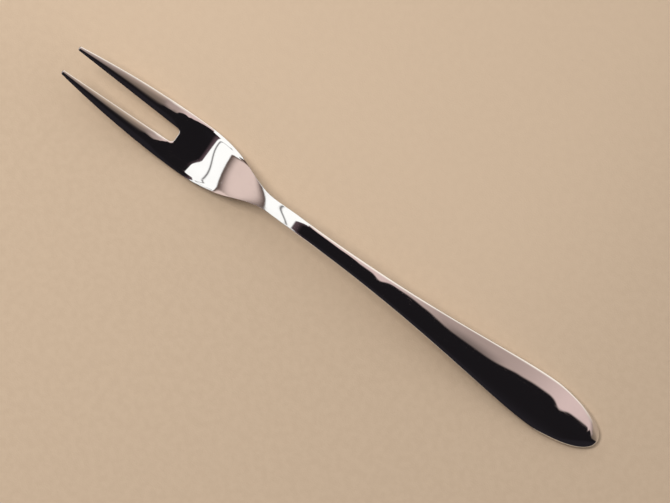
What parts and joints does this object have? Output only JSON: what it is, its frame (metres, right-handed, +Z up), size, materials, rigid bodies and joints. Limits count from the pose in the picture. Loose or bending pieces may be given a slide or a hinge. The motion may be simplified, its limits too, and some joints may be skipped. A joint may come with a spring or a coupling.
{
  "type": "meat fork",
  "caption": "Meat fork of mirror-polished steel with slim pointed tines, a waisted arched neck and a teardrop handle, for lifting and serving slices.",
  "frame": {"origin": "on the table, under the middle of the fork's length and width, with the fork lying on its back", "axes": "+X runs along the fork from the tine tips towards the handle's end, +Y runs across it, and +Z points up from the table"},
  "size_m": [0.2, 0.0174, 0.014],
  "materials": {
    "polished_steel": "mirror polished stainless steel, with faint hairlines and softened edges"
  },
  "bodies": {
    "root": {"left_tine": "polished_steel", "right_tine": "polished_steel", "head": "polished_steel", "neck": "polished_steel", "handle": "polished_steel"}
  },
  "joints": []
}
